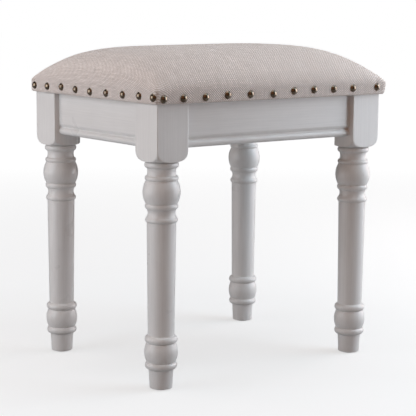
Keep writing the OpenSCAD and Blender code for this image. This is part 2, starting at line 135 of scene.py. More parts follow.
def block_plan():
    """The block's outline in plan, counterclockwise, with its flat towards -X and -Y."""
    c, h, flat = BLOCK_HALF - ARRIS, BLOCK_HALF, BLOCK_HALF - BOLT_FLAT
    points = arc(c, c, ARRIS, 0, 90, 5) + along((c, h), (-c, h), 26)[1:]
    points += arc(-c, c, ARRIS, 90, 180, 5) + along((-h, c), (-h, -flat), 20)[1:]
    points += along((-h, -flat), (-flat, -h), 8) + along((-flat, -h), (c, -h), 20)
    points += arc(c, -c, ARRIS, 270, 360, 5) + along((h, -c), (h, c), 26)[1:]
    return np.array(points)


def mesh_object(name, points, faces, smooth_angle=None):
    """A mesh object at the origin, shaded smooth up to an angle between its faces."""
    mesh = bpy.data.meshes.new(name)
    mesh.from_pydata([tuple(p) for p in points], [], faces)
    mesh.validate()
    if smooth_angle:
        mesh.shade_smooth()
        mesh.set_sharp_from_angle(angle=math.radians(smooth_angle))
    obj = bpy.data.objects.new(name, mesh)
    bpy.context.scene.collection.objects.link(obj)
    return obj


def tube_faces(rows, columns, flip=False, closed_ends=True):
    """Faces of a closed tube of rows of points, each row counterclockwise from above."""
    faces = []
    for k in range(rows - 1):
        for i in range(columns):
            j = (i + 1) % columns
            faces.append((k * columns + i, k * columns + j, (k + 1) * columns + j, (k + 1) * columns + i))
    if closed_ends:
        faces.append(tuple(reversed(range(columns))))
        faces.append(tuple(range((rows - 1) * columns, rows * columns)))
    return [tuple(reversed(f)) for f in faces] if flip else faces


def leg_mesh(name, low, high, side):
    """A leg between the corners of its box. side is its corner of the stool, as signs of X and Y."""
    block_z = high.z - BLOCK_HEIGHT
    axis = Vector(((low.x + high.x) / 2, (low.y + high.y) / 2, 0))
    plan = block_plan()
    reach = np.hypot(*plan.T)
    way = plan / reach[:, None]
    rows = [(way * r * MM, z * MM) for r, z in leg_profile(low.z / MM, block_z / MM)]
    shoulder = arc(SHOULDER_START, block_z + SHOULDER, SHOULDER, -90, -12, 26)
    for limit, z in [(COLLAR_TOP * MM, block_z)] + shoulder:
        gap = reach - limit
        soft = (reach + limit - np.sqrt(gap * gap + 4 * PAINT_FILL ** 2)) / 2
        rows.append((way * soft[:, None], z))
    for z in np.linspace(block_z + SHOULDER * 1.02, high.z - ARRIS / 2, 10):
        rows.append((plan, z))
    rows.append((plan * (1 - ARRIS / 2 / BLOCK_HALF), high.z))
    points = [(axis.x + side[0] * x, axis.y + side[1] * y, z) for flat, z in rows for x, y in flat]
    return mesh_object(name, points, tube_faces(len(rows), len(plan), side[0] * side[1] < 0), 35)


def feed(tree, socket, value):
    """Links a socket to another one, or sets it to a plain value. None leaves it alone."""
    if isinstance(value, bpy.types.NodeSocket):
        tree.links.new(value, socket)
    elif value is not None:
        socket.default_value = value


def put(tree, kind, *values, **settings):
    """A shader node with its settings, and its inputs set or linked in order."""
    node = tree.nodes.new("ShaderNode" + kind)
    for key, value in settings.items():
        setattr(node, key, value)
    for socket, value in zip(node.inputs, values):
        feed(tree, socket, value)
    return node


def calc(tree, operation, *values):
    """The result of one Math node."""
    return put(tree, "Math", *values, operation=operation).outputs[0]


def object_place(tree):
    """Where the shaded point is, in the piece's own metres."""
    return put(tree, "TexCoord").outputs["Object"]


def remap(tree, value, *limits):
    """A value moved from the first two limits' range to the last two's."""
    return put(tree, "MapRange", value, *limits).outputs[0]


def blend_colour(tree, share, first, second, kind="MIX"):
    """Two colours mixed by share, or blended in another of Blender's ways."""
    node = tree.nodes.new("ShaderNodeMix")
    node.data_type = "RGBA"
    node.blend_type = kind
    for socket, value in ((node.inputs[0], share), (node.inputs[6], first), (node.inputs[7], second)):
        feed(tree, socket, value)
    return node.outputs[2]


def effect_group(name, inputs, outputs):
    """An empty node group with named inputs and outputs, each a (name, socket type)."""
    group = bpy.data.node_groups.new(name, "ShaderNodeTree")
    for direction, sockets in (("INPUT", inputs), ("OUTPUT", outputs)):
        for label, kind in sockets:
            group.interface.new_socket(name=label, in_out=direction, socket_type="NodeSocket" + kind)
    return group, group.nodes.new("NodeGroupInput").outputs, group.nodes.new("NodeGroupOutput").inputs


def use_group(tree, group, **values):
    """A node of that group, with its inputs fed by name. Returns its outputs."""
    node = tree.nodes.new("ShaderNodeGroup")
    node.node_tree = group
    for label, value in values.items():
        feed(tree, node.inputs[label.replace("_", " ").capitalize()], value)
    return node.outputs


def finish_material(name, **sockets):
    """A material whose Principled shader's own sockets hold plain values; links come after."""
    material = bpy.data.materials.new(name)
    material.use_nodes = True
    shader = material.node_tree.nodes["Principled BSDF"]
    for label, value in sockets.items():
        shader.inputs[label.replace("_", " ").title().replace("Ior", "IOR")].default_value = value
    return material, material.node_tree, shader.inputs


def bump(tree, shader, height, strength, distance):
    node = tree.nodes.new("ShaderNodeBump")
    node.inputs["Strength"].default_value = strength
    node.inputs["Distance"].default_value = distance
    tree.links.new(height, node.inputs["Height"])
    tree.links.new(node.outputs[0], shader["Normal"])


def painted_grain():
    """Paint over wood: faint streaks along the grain, uneven film and the gun's fine orange peel."""
    group, given, out = effect_group(
        "painted grain", [("Paint", "Color"), ("Grain", "Vector")],
        [("Color", "Color"), ("Roughness", "Float"), ("Height", "Float")])
    place = object_place(group)
    stretched = put(group, "VectorMath", place, given["Grain"], operation="MULTIPLY").outputs[0]
    streaks = put(group, "TexNoise", stretched, None, 1.0, 3.0, 0.6).outputs[0]
    film = put(group, "TexNoise", place, None, 22.0, 3.0, 0.5).outputs[0]
    peel = put(group, "TexNoise", place, None, 900.0, 2.0, 0.5).outputs[0]
    shade = remap(group, streaks, 0.3, 0.7, 0.955, 1.02)
    cloud = remap(group, film, 0.3, 0.7, 0.975, 1.015)
    tone = put(group, "CombineColor", *[calc(group, "MULTIPLY", shade, cloud)] * 3).outputs[0]
    group.links.new(blend_colour(group, 1.0, given["Paint"], tone, "MULTIPLY"), out["Color"])
    group.links.new(remap(group, film, 0.3, 0.7, 0.27, 0.36), out["Roughness"])
    group.links.new(calc(group, "MULTIPLY_ADD", peel, 0.25, streaks), out["Height"])
    return group


PAINTED_GRAIN = painted_grain()


def painted(name, grain):
    """Satin paint on wood. grain is how fine the streaks are along X, Y and Z, per metre."""
    material, tree, shader = finish_material(name, ior=1.47)
    film = use_group(tree, PAINTED_GRAIN, paint=PAINT, grain=grain)
    tree.links.new(film["Color"], shader["Base Color"])
    tree.links.new(film["Roughness"], shader["Roughness"])
    bump(tree, shader, film["Height"], 0.35, 0.12 * MM)
    return material


LEG_PAINT = painted("paint, grain upright", (520, 520, 14))
for corner, side in CORNERS.items():
    node = "leg_" + corner
    leg = leg_mesh("turned_" + node, *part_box(node), side)
    leg.data.materials.append(LEG_PAINT)
    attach(leg, "root")
    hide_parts(node)


# ---- Glides ----
# A round nylon glide is nailed up into the end grain of each foot. It keeps the painted foot
# a hair off the floor. It is moulded, so its colour and its sheen are faintly mottled.

NYLON_DARK, NYLON_LIGHT = (0.50, 0.48, 0.45, 1), (0.60, 0.58, 0.55, 1)


def finish_cad_node(name, material):
    """Gives a piece that shows as the CAD made it its own material."""
    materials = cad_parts[name].data.materials
    materials.clear()
    materials.append(material)


glide_nylon, tree, shader = finish_material("moulded nylon", ior=1.5)
mottle = put(tree, "TexNoise", object_place(tree), None, 500.0, 2.0, 0.5).outputs[0]
tree.links.new(blend_colour(tree, mottle, NYLON_DARK, NYLON_LIGHT), shader["Base Color"])
tree.links.new(remap(tree, mottle, 0.3, 0.7, 0.45, 0.6), shader["Roughness"])
bump(tree, shader, mottle, 0.2, 0.1 * MM)
for corner in CORNERS:
    finish_cad_node("glide_" + corner, glide_nylon)


# ---- Aprons ----
# Four boards between the leg blocks, set back from their faces. A hollow and a bead are run
# along each lower edge with one cutter. Their ends butt on the blocks and carry the same paint.

BEAD = 5.5 * MM
HOLLOW_DEPTH, HOLLOW_HEIGHT = 2.8 * MM, 6 * MM
END_EASE = 0.6 * MM


def apron_section(thickness, height):
    """The section as (distance out from the back, height above the lower edge)."""
    bead = arc(thickness - BEAD, BEAD, BEAD, -90, 60, 18)
    hollow = arc(thickness, 2 * BEAD, HOLLOW_DEPTH, 180, 110, 8)
    wall = [(thickness - HOLLOW_DEPTH * 0.35 * (1 - t) ** 2, 2 * BEAD + HOLLOW_HEIGHT * (0.5 + 0.5 * t))
            for t in np.linspace(0.1, 1, 5)]
    top = [(thickness, height - END_EASE), (thickness - END_EASE, height)]
    top += [(END_EASE, height), (0, height - END_EASE)]
    return np.array([(0, END_EASE), (END_EASE, 0)] + bead + hollow + wall + top)


def apron_mesh(name, low, high, outward):
    """An apron that fills its box. outward is the unit direction of its face, along X or Y."""
    lengthwise = Vector((0, 0, 1)).cross(outward)
    size = high - low
    length = abs(size.dot(lengthwise))
    thickness = abs(size.dot(outward))
    middle = (low + high) / 2
    section = apron_section(thickness, size.z)
    centre = section.mean(axis=0)
    stations = [(0, END_EASE), (END_EASE, 0)]
    stations += [(s, 0) for s in np.linspace(length * 0.02, length * 0.98, 24)]
    stations += [(length - END_EASE, 0), (length, END_EASE)]
    points = []
    for place, ease in stations:
        shrunk = section + (centre - section) * (ease / (size.z / 2))
        for out, up in shrunk:
            spot = middle + lengthwise * (place - length / 2) + outward * (out - thickness / 2)
            points.append((spot.x, spot.y, low.z + up))
    return mesh_object(name, points, tube_faces(len(stations), len(section)), 32)


LONG_PAINT = painted("paint, grain along the front", (14, 520, 520))
SHORT_PAINT = painted("paint, grain along the side", (520, 14, 520))
for side, outward, paint in (("front", (0, -1, 0), LONG_PAINT), ("rear", (0, 1, 0), LONG_PAINT),
                             ("left", (-1, 0, 0), SHORT_PAINT), ("right", (1, 0, 0), SHORT_PAINT)):
    node = "apron_" + side
    apron = apron_mesh("moulded_" + node, *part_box(node), Vector(outward))
    apron.data.materials.append(paint)
    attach(apron, "root")
    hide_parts(node)


# ---- Corner braces and seat board ----
# Braces of bare softwood are sawn to fit across the corners, and the seat board is birch
# plywood. Neither is painted, because nobody sees them with the stool on its feet.


def sawn_wood():
    """Bare wood: long growth rings cut through by the saw, fine pores and a slightly furry surface."""
    group, given, out = effect_group(
        "sawn wood", [("Early", "Color"), ("Late", "Color"), ("Grain", "Vector")],
        [("Color", "Color"), ("Height", "Float")])
    place = object_place(group)
    stretched = put(group, "VectorMath", place, given["Grain"], operation="MULTIPLY").outputs[0]
    rings = put(group, "TexWave", stretched, 1.0, 5.0, 3.0, 1.2, wave_type="RINGS").outputs["Fac"]
    pores = put(group, "TexNoise", stretched, None, 9.0, 4.0, 0.65).outputs[0]
    share = calc(group, "MULTIPLY_ADD", pores, 0.5, calc(group, "MULTIPLY", rings, 0.5))
    group.links.new(blend_colour(group, share, given["Early"], given["Late"]), out["Color"])
    group.links.new(calc(group, "ADD", pores, calc(group, "MULTIPLY", rings, 0.4)), out["Height"])
    return group


SAWN_WOOD = sawn_wood()


def bare_wood(name, early, late, grain):
    """Sawn wood from the colours of its growth rings' early and late wood."""
    material, tree, shader = finish_material(name, roughness=0.72, ior=1.4)
    cut = use_group(tree, SAWN_WOOD, early=early, late=late, grain=grain)
    tree.links.new(cut["Color"], shader["Base Color"])
    bump(tree, shader, cut["Height"], 0.4, 0.3 * MM)
    return material


BRACE_WOOD = bare_wood("sawn softwood", (0.60, 0.43, 0.25, 1), (0.40, 0.25, 0.13, 1), (60, 60, 12))
BOARD_WOOD = bare_wood("birch plywood", (0.66, 0.52, 0.36, 1), (0.52, 0.38, 0.24, 1), (8, 60, 90))
for corner in CORNERS:
    finish_cad_node("brace_" + corner, BRACE_WOOD)
finish_cad_node("seat_board", BOARD_WOOD)


# ---- Bolts, washers, nuts and screws ----
# A hanger bolt in each leg passes through the brace and takes a washer and a nut. Pan-head
# screws hold the braces to the aprons and the seat to the braces. All are zinc plated.

THREAD_PITCH, THREAD_DEPTH = 1.25 * MM, 0.7 * MM
BOLT_LENGTH = 70.1 * MM
THREAD_COLUMNS, ROWS_PER_TURN = 20, 6


def worn_metal():
    """Plated or aged metal: a clean colour on the open surface and a duller one in patches."""
    group, given, out = effect_group(
        "worn metal", [("Clean", "Color"), ("Dull", "Color"), ("Patch size", "Float")],
        [("Color", "Color"), ("Mask", "Float"), ("Height", "Float")])
    place = object_place(group)
    patches = put(group, "TexNoise", place, None, given["Patch size"], 4.0, 0.6).outputs[0]
    fine = put(group, "TexNoise", place, None, 2600.0, 2.0, 0.5).outputs[0]
    mixed = calc(group, "MULTIPLY_ADD", fine, 0.3, patches)
    mask = remap(group, mixed, 0.45, 0.85, 0.0, 1.0)
    group.links.new(blend_colour(group, mask, given["Clean"], given["Dull"]), out["Color"])
    group.links.new(mask, out["Mask"])
    group.links.new(calc(group, "ADD", patches, calc(group, "MULTIPLY", fine, 0.4)), out["Height"])
    return group


WORN_METAL = worn_metal()


def metal(name, clean, dull, patch_size, smooth, rough, lacquer=0.0):
    """Worn metal. Its clean parts are smooth and its dull parts rough, under a coat of lacquer."""
    material, tree, shader = finish_material(name, metallic=1.0, coat_weight=lacquer, coat_roughness=0.06)
    surface = use_group(tree, WORN_METAL, clean=clean, dull=dull, patch_size=patch_size)
    tree.links.new(surface["Color"], shader["Base Color"])
    tree.links.new(remap(tree, surface["Mask"], 0.0, 1.0, smooth, rough), shader["Roughness"])
    bump(tree, shader, surface["Height"], 0.25, 0.1 * MM)
    return material


ZINC = metal("zinc plate", (0.62, 0.63, 0.65, 1), (0.42, 0.42, 0.42, 1), 300.0, 0.3, 0.5)
for node in ("bolt_washers", "bolt_nuts", "brace_screws", "seat_screws"):
    finish_cad_node(node, ZINC)


def threaded_rod(start, end, radius):
    """Points and faces of a rod with one helical thread from end to end."""
    length = (end - start).length
    rows = int(length / THREAD_PITCH * ROWS_PER_TURN)
    turn = (end - start).to_track_quat("Z", "Y").to_matrix()
    points = []
    for k in range(rows + 1):
        for i in range(THREAD_COLUMNS):
            phase = (k / ROWS_PER_TURN - i / THREAD_COLUMNS) % 1
            r = radius - THREAD_DEPTH * abs(2 * phase - 1)
            if k in (0, rows):
                r = radius - THREAD_DEPTH
            angle = 2 * math.pi * i / THREAD_COLUMNS
            local = Vector((r * math.cos(angle), r * math.sin(angle), length * k / rows))
            points.append(start + turn @ local)
    return points, tube_faces(rows + 1, THREAD_COLUMNS)


def joined(parts):
    """One list of points and one of faces from several parts' own."""
    points, faces = [], []
    for part_points, part_faces in parts:
        faces += [tuple(corner + len(points) for corner in face) for face in part_faces]
        points += part_points
    return points, faces


bolt_low, bolt_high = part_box("hanger_bolts")
leg_low, leg_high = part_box("leg_rear_right")
bolt_z = (bolt_high.z + bolt_low.z) / 2
bolt_radius = (bolt_high.z - bolt_low.z) / 2
outer_x = bolt_high.x - bolt_radius / math.sqrt(2)
outer_y = (leg_low.y + leg_high.y) / 2 + outer_x - (leg_low.x + leg_high.x) / 2
rods = []
for side in CORNERS.values():
    outer, inner = (Vector((side[0] * (outer_x - step), side[1] * (outer_y - step), bolt_z))
                    for step in (0, BOLT_LENGTH / math.sqrt(2)))
    rods.append(threaded_rod(outer, inner, bolt_radius))
bolts = mesh_object("threaded_hanger_bolts", *joined(rods), 30)
bolts.data.materials.append(ZINC)
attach(bolts, "root")
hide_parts("hanger_bolts")


# ---- Foam pad and wadding ----
# A block of polyurethane foam, cut to a crown, is glued to the board. A layer of polyester
# wadding over it softens the edges. Neither shows once the cover is on.

cover_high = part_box("linen_cover")[1]
SEAT_HALF = Vector((cover_high.x, cover_high.y, 0))
EDGE_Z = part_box("seat_board")[1].z
CROWN = cover_high.z - EDGE_Z
# The dome's two powers along X and along Y, and the share by which its right end is higher
DOME = ((5.8, 2.08), (3.0, 1.8))
LEAN = 0.028
PAD_COLUMNS, PAD_ROWS = 49, 39
FOAM_INSET, WADDING_INSET, WADDING_THICKNESS = 6 * MM, 3.2 * MM, 2.4 * MM
# The second colour of each is painted shade, put where the cells' bump is low.
FOAM_LIGHT, FOAM_PIT_SHADE = (0.86, 0.80, 0.60, 1), (0.62, 0.55, 0.36, 1)
WADDING_LIGHT, WADDING_PIT_SHADE = (0.90, 0.90, 0.88, 1), (0.70, 0.70, 0.69, 1)


def dome(u, v):
    """Share of the crown's height at u, v, which run from -1 to 1 across the seat."""
    parts = [np.clip(1 - np.abs(w) ** n, 0, None) ** (1 / m) for w, (n, m) in zip((u, v), DOME)]
    return parts[0] * parts[1] * (1 + LEAN * u)


def even_steps(half, powers, height, count):
    """Places from -1 to 1 that lie evenly along the dome's own outline."""
    fine = np.sin(np.linspace(-math.pi / 2, math.pi / 2, 4001))
    rise = height * np.clip(1 - np.abs(fine) ** powers[0], 0, None) ** (1 / powers[1])
    run = np.concatenate([[0], np.cumsum(np.hypot(np.diff(fine * half), np.diff(rise)))])
    return np.interp(np.linspace(0, run[-1], count), run, fine)


def grid_faces(columns, rows):
    """Faces, seen from above, of a grid of points that runs along X and then along Y."""
    return [(j * columns + i, j * columns + i + 1, (j + 1) * columns + i + 1, (j + 1) * columns + i)
            for j in range(rows - 1) for i in range(columns - 1)]


def grid_rim(columns, rows):
    """The grid's rim, counterclockwise, as (point's number, outward X, outward Y)."""
    front = [(i, 0, -1) for i in range(columns)]
    right = [(j * columns + columns - 1, 1, 0) for j in range(1, rows)]
    rear = [((rows - 1) * columns + i, 0, 1) for i in range(columns - 2, -1, -1)]
    left = [(j * columns, -1, 0) for j in range(rows - 2, 0, -1)]
    return front + right + rear + left


def slab_faces(columns, rows):
    """Faces of a closed slab between two such grids, the upper one first."""
    below = columns * rows
    faces = []
    for quad in grid_faces(columns, rows):
        faces.append(quad)
        faces.append(tuple(reversed([corner + below for corner in quad])))
    rim = [spot[0] for spot in grid_rim(columns, rows)]
    for a, b in zip(rim, rim[1:] + rim[:1]):
        faces.append((b, a, a + below, b + below))
    return faces


def crowned_pad(name, inset, thickness):
    """A pad whose crown follows the cover's, set in by inset. No thickness makes it solid."""
    half = SEAT_HALF - Vector((inset, inset, 0))
    height = CROWN - inset
    points = []
    for layer in range(2):
        drop = thickness * layer
        for v in even_steps(half.y, DOME[1], height, PAD_ROWS):
            for u in even_steps(half.x, DOME[0], height, PAD_COLUMNS):
                z = EDGE_Z + (height - drop) * float(dome(u, v))
                if layer and not thickness:
                    z = EDGE_Z
                points.append((u * (half.x - drop), v * (half.y - drop), z))
    return mesh_object(name, points, slab_faces(PAD_COLUMNS, PAD_ROWS), 50)


def fibre_fill(name, light, pit_shade, scale):
    """Foam or wadding: cells of that many per metre, with a painted shade where their bump is low."""
    material, tree, shader = finish_material(name, roughness=0.9, sheen_weight=0.2)
    place = object_place(tree)
    cells = put(tree, "TexVoronoi", place, None, scale).outputs["Distance"]
    # Painted shade: the colour is darker where the cells' bump is low.
    tree.links.new(blend_colour(tree, cells, pit_shade, light), shader["Base Color"])
    bump(tree, shader, cells, 0.6, 0.6 * MM)
    return material


foam = crowned_pad("crowned_foam_pad", FOAM_INSET, 0)
foam.data.materials.append(fibre_fill("open-cell foam", FOAM_LIGHT, FOAM_PIT_SHADE, 700.0))
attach(foam, "root")
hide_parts("foam_pad")

wadding = crowned_pad("wadding_layer", WADDING_INSET, WADDING_THICKNESS)
wadding.data.materials.append(fibre_fill("polyester wadding", WADDING_LIGHT, WADDING_PIT_SHADE, 300.0))
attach(wadding, "root")
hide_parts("wadding")


# ---- Linen cover ----
# One piece of unbleached linen is drawn over the pad, folded under the board and stapled. Its
# threads run with the seat's sides. The nails hold the band in, so it fills out between them.

CELL = 4.6 * MM
BAND_ROWS, UNDER_ROWS = 6, 5
# How far the linen is turned under the seat
UNDER = 45 * MM
CORNER_ROUND = 6 * MM
CLOTH_THICKNESS = 0.9 * MM
NAIL_PRESS = 1.3 * MM
NAIL_HOLD = 4.2 * MM
PINNED_BELOW, FACE_REACH = 1 * MM, 3 * MM
# The right end's extra fullness, its share of half the seat, and how far up it reaches from the board
RIGHT_FULLNESS, RIGHT_SHARE, ROLL_HEIGHT = 3.6 * MM, 0.2, 12 * MM
PRESSURE, SETTLE_FRAMES, MOST_SWELL = 4, 20, 1.3 * MM
SLUBS_PER_METRE = 45.0
YARN_PITCH = 1.7 * MM
# The last colour is painted shade, put in the low gaps between the threads.
WARP, WEFT, GAP_SHADE = (0.96, 0.90, 0.87, 1), (0.56, 0.46, 0.405, 1), (0.12, 0.078, 0.058, 1)
# The nails' height above the leg tops, their spaces along each row as shares of it, each one's
# own lift in millimetres, and the gaps at the rows' two ends
NAIL_Z = 8.3 * MM
LONG_SPACES = (32, 36, 37, 39, 40, 37, 37, 37, 37, 47)
SHORT_SPACES = (35, 38, 37, 37, 40, 40, 38, 31)
LONG_LIFTS = (-2, -2, -1.8, -0.1, -0.5, -1.5, 1.3, 1.8, 1.4, 1.5, 1.8)
SHORT_LIFTS = (-0.1, 0.3, 1.6, 0, -1, -0.5, -0.3, 0.3, -0.2)
LONG_ENDS, SHORT_ENDS = (12.5 * MM, 17.5 * MM), (13.5 * MM, 8 * MM)
# The cover's lower fold, as (distance in from the band's face, height above the leg tops)
FOLD = ((0, 1.6 * MM), (0.4 * MM, 0), (1.6 * MM, -0.9 * MM), (3.8 * MM, -0.8 * MM), (6.2 * MM, 0))


def nail_row(half, spaces, ends):
    """Places of a row's nails along a side of that half length."""
    places = np.concatenate([[0], np.cumsum(spaces)]) / sum(spaces)
    return ends[0] - half + (2 * half - ends[0] - ends[1]) * places


# Each nail as (row, place on the band's face, outward direction)
NAILS = []
for x, lift in zip(nail_row(SEAT_HALF.x, LONG_SPACES, LONG_ENDS), LONG_LIFTS):
    z = leg_high.z + NAIL_Z + lift * MM
    NAILS.append(("front", Vector((x, -SEAT_HALF.y, z)), Vector((0, -1, 0))))
    NAILS.append(("rear", Vector((-x, SEAT_HALF.y, z)), Vector((0, 1, 0))))
for y, lift in zip(nail_row(SEAT_HALF.y, SHORT_SPACES, SHORT_ENDS), SHORT_LIFTS):
    z = leg_high.z + NAIL_Z + lift * MM
    NAILS.append(("left", Vector((-SEAT_HALF.x, -y, z)), Vector((-1, 0, 0))))
    NAILS.append(("right", Vector((SEAT_HALF.x + RIGHT_FULLNESS / 2, y, z)), Vector((1, 0, 0))))


def rounded_corner(x, y, half, radius):
    """Draws a point of a rectangle in, so that the rectangle's corners become round."""
    cx, cy = half.x - radius, half.y - radius
    dx, dy = abs(x) - cx, abs(y) - cy
    if dx <= 0 or dy <= 0:
        return x, y
    reach = max(dx, dy)
    stretch = reach / math.hypot(dx, dy)
    return math.copysign(cx + dx * stretch, x), math.copysign(cy + dy * stretch, y)


def cover_grid():
    """Points, faces and thread coordinates of the cover: a top grid, its band and the turned-under edge."""
    half = SEAT_HALF
    u = even_steps(half.x, DOME[0], CROWN, int(2 * (half.x + CROWN) / CELL))
    v = even_steps(half.y, DOME[1], CROWN, int(2 * (half.y + CROWN) / CELL))
    columns, rows = len(u), len(v)
    grid = np.zeros((rows, columns, 3))
    for j, b in enumerate(v):
        for i, a in enumerate(u):
            x, y = rounded_corner(a * half.x, b * half.y, half, CORNER_ROUND)
            grid[j, i] = (x, y, EDGE_Z + CROWN * float(dome(a, b)))
    across = np.linalg.norm(np.diff(grid, axis=1), axis=2)
    down = np.linalg.norm(np.diff(grid, axis=0), axis=2)
    thread_u = np.concatenate([np.zeros((rows, 1)), np.cumsum(across, axis=1)], axis=1)
    thread_v = np.concatenate([np.zeros((1, columns)), np.cumsum(down, axis=0)], axis=0)
    thread_u -= thread_u[:, columns // 2:columns // 2 + 1]
    thread_v -= thread_v[rows // 2:rows // 2 + 1, :]
    points = [tuple(p) for p in grid.reshape(-1, 3)]
    threads = list(zip(thread_u.ravel(), thread_v.ravel()))
    faces = grid_faces(columns, rows)
    rim = grid_rim(columns, rows)
    above = [spot[0] for spot in rim]
    fold_z = leg_high.z + FOLD[0][1]
    steps = [(0, EDGE_Z + (fold_z - EDGE_Z) * (k + 1) / BAND_ROWS) for k in range(BAND_ROWS)]
    steps += [(inward, leg_high.z + rise) for inward, rise in FOLD[1:]]
    steps += [(UNDER * (k + 2) / (UNDER_ROWS + 1), leg_high.z) for k in range(UNDER_ROWS)]
    for inward, z in steps:
        row = []
        for (start, way_x, way_y), upper in zip(rim, above):
            x, y = points[start][0], points[start][1]
            share_x, share_y = (half.x - inward) / half.x, (half.y - inward) / half.y
            drop = abs(points[upper][2] - z) + math.hypot(
                points[upper][0] - x * share_x, points[upper][1] - y * share_y)
            row.append(len(points))
            points.append((x * share_x, y * share_y, z))
            threads.append((threads[upper][0] + way_x * drop, threads[upper][1] + way_y * drop))
        for k in range(len(row)):
            j = (k + 1) % len(row)
            faces.append((above[j], above[k], row[k], row[j]))
        above = row
    return np.array(points), faces, threads, above


def fill_right_end(points):
    """Pushes the band and the roll above it out at the right end, where the padding is fuller."""
    height = np.clip((points[:, 2] - leg_high.z) / (EDGE_Z + ROLL_HEIGHT - leg_high.z), 0, 1)
    near_end = np.clip((points[:, 0] / SEAT_HALF.x - 1) / RIGHT_SHARE + 1, 0, 1) ** 2
    points[:, 0] += RIGHT_FULLNESS * np.sin(math.pi * height) * near_end


def hold_at_nails(points):
    """Presses the band in under each nail. Returns the moved points and each one's pinning."""
    moved, pinned = points.copy(), (points[:, 2] < leg_high.z + PINNED_BELOW).astype(float)
    for _, place, outward in NAILS:
        off = points - np.array(place)
        depth = np.abs(off @ np.array(outward))
        away = np.sqrt(np.maximum((off ** 2).sum(1) - depth ** 2, 0))
        near = (depth < FACE_REACH) & (away < 3 * NAIL_HOLD)
        press = np.exp(-(away / NAIL_HOLD) ** 2) * NAIL_PRESS * near
        moved -= press[:, None] * np.array(outward)
        pinned = np.maximum(pinned, near * (away < NAIL_HOLD))
    return moved, pinned


def swell(points, faces, pinned):
    """Lets cloth fill out under pressure, held where it is pinned. Returns the settled points."""
    obj = mesh_object("cover_before_it_settles", points, faces)
    group = obj.vertex_groups.new(name="held")
    for index in np.nonzero(pinned)[0]:
        group.add([int(index)], float(pinned[index]), "REPLACE")
    cloth = obj.modifiers.new("Cloth", "CLOTH")
    cloth.settings.quality = 3
    cloth.settings.mass = 0.3
    cloth.settings.tension_stiffness = 25
    cloth.settings.compression_stiffness = 25
    cloth.settings.shear_stiffness = 8
    cloth.settings.bending_stiffness = 1.5
    cloth.settings.use_pressure = True
    cloth.settings.uniform_pressure_force = PRESSURE
    cloth.settings.vertex_group_mass = "held"
    cloth.settings.effector_weights.gravity = 0
    cloth.collision_settings.use_collision = False
    for number in range(1, SETTLE_FRAMES + 1):
        bpy.context.scene.frame_set(number)
    settled = obj.evaluated_get(bpy.context.evaluated_depsgraph_get()).to_mesh()
    moved = np.array([v.co for v in settled.vertices]) - points
    outward = np.array([v.normal for v in obj.data.vertices])
    bpy.data.objects.remove(obj)
    bpy.context.scene.frame_set(1)
    # The pad behind the cloth stops it from moving inward.
    rise = np.maximum((moved * outward).sum(axis=1, keepdims=True), 0)
    return points + outward * MOST_SWELL * np.tanh(rise / MOST_SWELL)


def linen_weave():
    """Plain weave: round threads that dip under one another, each with its own tone and its slubs."""
    group, given, out = effect_group(
        "linen weave", [("Threads", "Vector"), ("Pitch", "Float")],
        [("Over", "Float"), ("Tone", "Float"), ("Height", "Float"), ("Cloud", "Float")])
    split = put(group, "SeparateXYZ", given["Threads"]).outputs
    wander = put(group, "TexNoise", given["Threads"], None, 55.0, 2.0, 0.5).outputs[0]
    counted = [calc(group, "MULTIPLY_ADD", wander, 1.2, calc(group, "DIVIDE", way, given["Pitch"]))
               for way in (split[0], split[1])]
    heights, tones = [], []
    for own, other, first in ((0, 1, 0.0), (1, 0, 1.0)):
        number = calc(group, "FLOOR", counted[own])
        ridge = calc(group, "SINE", calc(group, "MULTIPLY", calc(group, "FRACT", counted[own]), math.pi))
        phase = calc(group, "ADD", calc(group, "ADD", counted[other], number), first)
        wave = calc(group, "SINE", calc(group, "MULTIPLY", phase, math.pi))
        crimp = calc(group, "MULTIPLY_ADD", wave, 0.42, 0.58)
        length = calc(group, "MULTIPLY", split[other], SLUBS_PER_METRE)
        spun = put(group, "CombineXYZ", number, length, first).outputs[0]
        slub = put(group, "TexNoise", spun, None, 1.0, 3.0, 0.6).outputs[0]
        dyed = put(group, "TexWhiteNoise", None, number, noise_dimensions="1D").outputs["Value"]
        tones.append(calc(group, "MULTIPLY_ADD", dyed, 0.3, slub))
        thick = calc(group, "MULTIPLY_ADD", slub, 0.7, 0.5)
        heights.append(calc(group, "MULTIPLY", calc(group, "MULTIPLY", ridge, crimp), thick))
    over = calc(group, "GREATER_THAN", heights[0], heights[1])
    under = calc(group, "SUBTRACT", 1.0, over)
    group.links.new(over, out["Over"])
    group.links.new(calc(group, "ADD", calc(group, "MULTIPLY", over, tones[0]),
                         calc(group, "MULTIPLY", under, tones[1])), out["Tone"])
    group.links.new(calc(group, "MAXIMUM", heights[0], heights[1]), out["Height"])
    group.links.new(wander, out["Cloud"])
    return group


LINEN_WEAVE = linen_weave()


def linen(name, warp, weft, gap, pitch):
    """Linen from the colours of its two yarns, and gap, a painted shade for the low gaps between them."""
    material, tree, shader = finish_material(name, sheen_weight=0.12, specular_ior_level=0.2)
    threads = put(tree, "UVMap", uv_map="threads").outputs[0]
    weave = use_group(tree, LINEN_WEAVE, threads=threads, pitch=pitch)
    yarn = blend_colour(tree, weave["Over"], weft, warp)
    bright = remap(tree, weave["Tone"], 0.35, 0.95, 0.84, 1.12)
    tone = put(tree, "CombineColor", bright, bright, bright).outputs[0]
    toned = blend_colour(tree, 1.0, yarn, tone, "MULTIPLY")
    # Painted shade: the colour goes over to the gap's painted shade where the weave's bump is low.
    gap_shading = remap(tree, weave["Height"], 0.1, 0.5, 1.0, 0.0)
    tree.links.new(blend_colour(tree, gap_shading, toned, gap), shader["Base Color"])
    tree.links.new(remap(tree, weave["Cloud"], 0.3, 0.7, 0.82, 0.95), shader["Roughness"])
    bump(tree, shader, weave["Height"], 0.6, 0.3 * MM)
    return material


